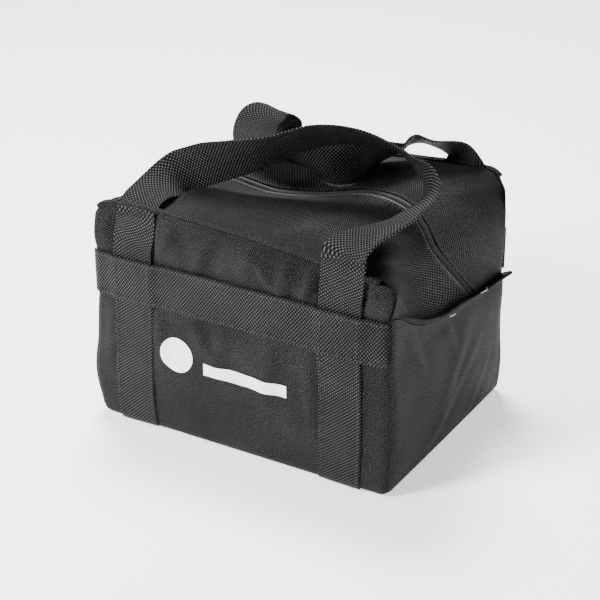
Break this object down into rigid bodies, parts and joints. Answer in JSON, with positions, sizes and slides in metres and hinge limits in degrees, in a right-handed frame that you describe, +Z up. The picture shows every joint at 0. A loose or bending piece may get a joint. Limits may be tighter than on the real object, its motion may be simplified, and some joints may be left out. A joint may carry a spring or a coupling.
{
  "type": "small zipped tool bag",
  "caption": "Small boxy black cloth bag with a zip across its lid, a webbing band round its walls and two webbing handles lying over the top.",
  "frame": {"origin": "middle of the bottom, on the surface the bag stands on", "axes": "+X to the right along the front seen from the front, -Y out of the front, +Z up"},
  "size_m": [0.25, 0.1893, 0.2295],
  "materials": {
    "cloth": "woven polyester, faint sheen",
    "webbing": "coarse woven webbing",
    "zip_tape": "fine woven tape",
    "zip_coil": "satin nylon coil",
    "zip_metal": "black lacquered, worn edges",
    "print": "screen print"
  },
  "bodies": {
    "bag": {"bottom_panel": "cloth", "front_panel": "cloth", "back_panel": "cloth", "left_side_panel": "cloth", "right_side_panel": "cloth", "left_side_seam": "cloth", "right_side_seam": "cloth", "left_front_gusset": "cloth", "left_rear_gusset": "cloth", "right_front_gusset": "cloth", "right_rear_gusset": "cloth", "front_band": "webbing", "rear_band": "webbing", "front_left_strap": "webbing", "front_right_strap": "webbing", "rear_left_strap": "webbing", "rear_right_strap": "webbing", "left_zip_end": "zip_tape", "right_zip_end": "zip_tape", "left_coil_end": "zip_coil", "right_coil_end": "zip_coil", "front_print": "print"},
    "front_lip": {"front_lid": "cloth", "front_zip_tape": "zip_tape", "front_zip_coil": "zip_coil"},
    "rear_lip": {"rear_lid": "cloth", "rear_zip_tape": "zip_tape", "rear_zip_coil": "zip_coil"},
    "slider": {"zip_slider": "zip_metal"},
    "puller": {"zip_puller": "zip_metal"},
    "front_handle": {"front_handle": "webbing"},
    "rear_handle": {"rear_handle": "webbing"}
  },
  "joints": [
    {"name": "zip_slide", "type": "slide", "parent": "bag", "child": "slider", "axis": [1, 0, 0], "range_m": [0, 0.176]},
    {"name": "puller_swing", "type": "hinge", "parent": "slider", "child": "puller", "pos_m": [-0.088, 0, 0.1733], "axis": [0, 1, 0], "range_deg": [-165, 0]},
    {"name": "front_handle_swing", "type": "hinge", "parent": "bag", "child": "front_handle", "pos_m": [0, -0.0932, 0.168], "axis": [1, 0, 0], "range_deg": [0, 180]},
    {"name": "rear_handle_swing", "type": "hinge", "parent": "bag", "child": "rear_handle", "pos_m": [0, 0.0932, 0.168], "axis": [1, 0, 0], "range_deg": [-150, 0]},
    {"name": "front_lip_fold", "type": "hinge", "parent": "bag", "child": "front_lip", "pos_m": [0, -0.083, 0.169], "axis": [1, 0, 0], "range_deg": [-45, 0]},
    {"name": "rear_lip_fold", "type": "hinge", "parent": "bag", "child": "rear_lip", "pos_m": [0, 0.083, 0.169], "axis": [1, 0, 0], "range_deg": [0, 45]}
  ],
  "couplings": [
    {"joint": "rear_lip_fold", "follows": "front_lip_fold", "ratio": -1}
  ]
}
